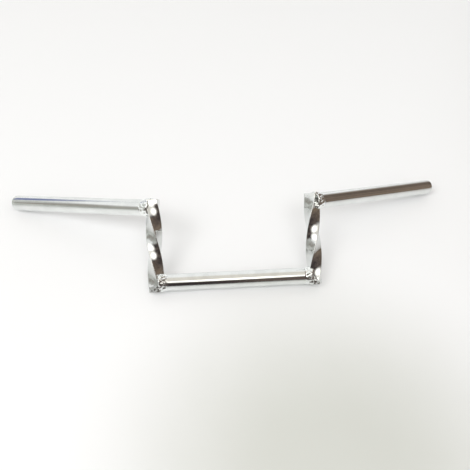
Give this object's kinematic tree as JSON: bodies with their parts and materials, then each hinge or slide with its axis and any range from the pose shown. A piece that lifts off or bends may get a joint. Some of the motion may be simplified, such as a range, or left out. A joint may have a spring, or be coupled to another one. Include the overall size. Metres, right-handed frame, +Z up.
{
  "type": "z-bar handlebar",
  "caption": "Chromed Z-bar motorbike handlebar: a round clamp tube, twisted square risers and swept-back round grip tubes, welded into one bar.",
  "frame": {"origin": "middle of the clamp tube's axis", "axes": "+X along the clamp tube to the rider's left, +Z up from the surface that the bar lies on, +Y across that surface, from the clamp tube towards the grip ends"},
  "size_m": [0.7274, 0.2123, 0.1077],
  "materials": {
    "plated_tube": "bright chrome plate on round steel tube",
    "plated_bar": "bright chrome plate on twisted square steel bar",
    "plated_weld": "bright chrome plate on rippled weld metal"
  },
  "bodies": {
    "root": {"clamp_tube": "plated_tube", "left_riser": "plated_bar", "right_riser": "plated_bar", "left_grip_tube": "plated_tube", "right_grip_tube": "plated_tube", "left_lower_weld": "plated_weld", "right_lower_weld": "plated_weld", "left_upper_weld": "plated_weld", "right_upper_weld": "plated_weld"}
  },
  "joints": []
}
